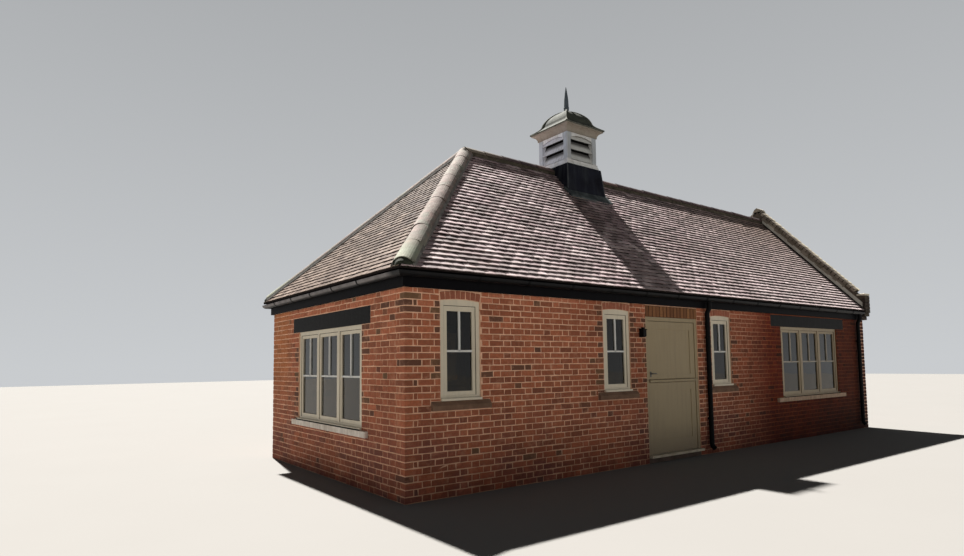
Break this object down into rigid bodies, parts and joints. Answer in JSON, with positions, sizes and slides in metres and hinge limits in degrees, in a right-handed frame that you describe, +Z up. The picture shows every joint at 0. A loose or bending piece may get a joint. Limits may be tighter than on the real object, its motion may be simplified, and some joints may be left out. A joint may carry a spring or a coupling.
{
  "type": "brick outbuilding with louvred cupola",
  "caption": "Single-storey brick outbuilding with a hipped clay-tile roof, parapet gable, stable door and louvred lead-roofed cupola.",
  "frame": {"origin": "middle of the building's box at ground level", "axes": "+X along the front wall from the hip end to the parapet gable, +Y from the front into the building, +Z up"},
  "size_m": [11.9413, 4.8, 6.7953],
  "materials": {
    "brick": "weathered orange-red facing brick in pale mortar",
    "arch_brick": "finer orange-red arch bricks",
    "concrete": "worn concrete",
    "roof_tile": "weathered plain clay tiles",
    "hip_tile": "lichened round hip tiles in mortar",
    "coping": "dark weathered bricks on edge",
    "lead": "dull weathered sheet lead",
    "dark_lead": "dark painted sheet lead",
    "black_paint_wood": "black gloss paint on boards",
    "black_iron": "black painted iron",
    "tile_sill": "dark weathered sill tiles",
    "stone": "pale weathered stone",
    "sage_paint": "grey-green painted timber",
    "door_paint": "olive-cream painted boards",
    "window_glass": "clear glass",
    "cream_paint": "off-white painted timber"
  },
  "bodies": {
    "root": {"front_wall_left": "brick", "front_wall_over_door": "brick", "front_wall_right": "brick", "hip_end_wall": "brick", "back_wall": "brick", "far_gable_wall": "brick", "floor_slab": "concrete", "door_step": "concrete", "door_soldier_arch": "arch_brick", "small_window_arches": "arch_brick", "front_roof_slope": "roof_tile", "back_roof_slope": "roof_tile", "hip_roof_slope": "roof_tile", "front_hip_tiles": "hip_tile", "back_hip_tiles": "hip_tile", "ridge_tiles": "roof_tile", "parapet_coping_front": "coping", "parapet_coping_back": "coping", "parapet_kneelers": "coping", "parapet_flashing": "lead", "front_fascia": "black_paint_wood", "hip_fascia": "black_paint_wood", "back_fascia": "black_paint_wood", "front_gutter": "black_iron", "hip_gutter": "black_iron", "back_gutter": "black_iron", "gutter_brackets": "black_iron", "downpipes": "black_iron", "downpipe_clips": "black_iron", "small_window_sills": "tile_sill", "small_window_frames": "sage_paint", "small_window_sashes": "sage_paint", "small_window_glass": "window_glass", "lintel_boards": "black_paint_wood", "stone_sills": "stone", "front_window_frame": "sage_paint", "hip_window_frame": "sage_paint", "large_window_casements": "sage_paint", "large_window_glass": "window_glass", "door_frame": "door_paint", "door_threshold": "stone", "frame_hinges": "black_iron", "wall_lantern": "black_iron", "cupola_plinth": "dark_lead", "cupola_apron": "dark_lead", "cupola_frame": "cream_paint", "cupola_louvres": "cream_paint", "cupola_lining": "black_paint_wood", "cupola_cornice": "cream_paint", "cupola_roof": "lead", "cupola_hip_rolls": "lead", "cupola_finial": "lead"},
    "upper_leaf": {"upper_door_leaf": "door_paint", "door_handle": "black_iron", "upper_leaf_hinges": "black_iron"},
    "lower_leaf": {"lower_door_leaf": "door_paint", "lower_leaf_hinges": "black_iron"}
  },
  "joints": [
    {"name": "upper_leaf_swing", "type": "hinge", "parent": "root", "child": "upper_leaf", "pos_m": [-0.42835, -2.152, 1.6], "axis": [0, 0, -1], "range_deg": [0, 90]},
    {"name": "lower_leaf_swing", "type": "hinge", "parent": "root", "child": "lower_leaf", "pos_m": [-0.42835, -2.152, 0.6], "axis": [0, 0, -1], "range_deg": [0, 90]}
  ]
}
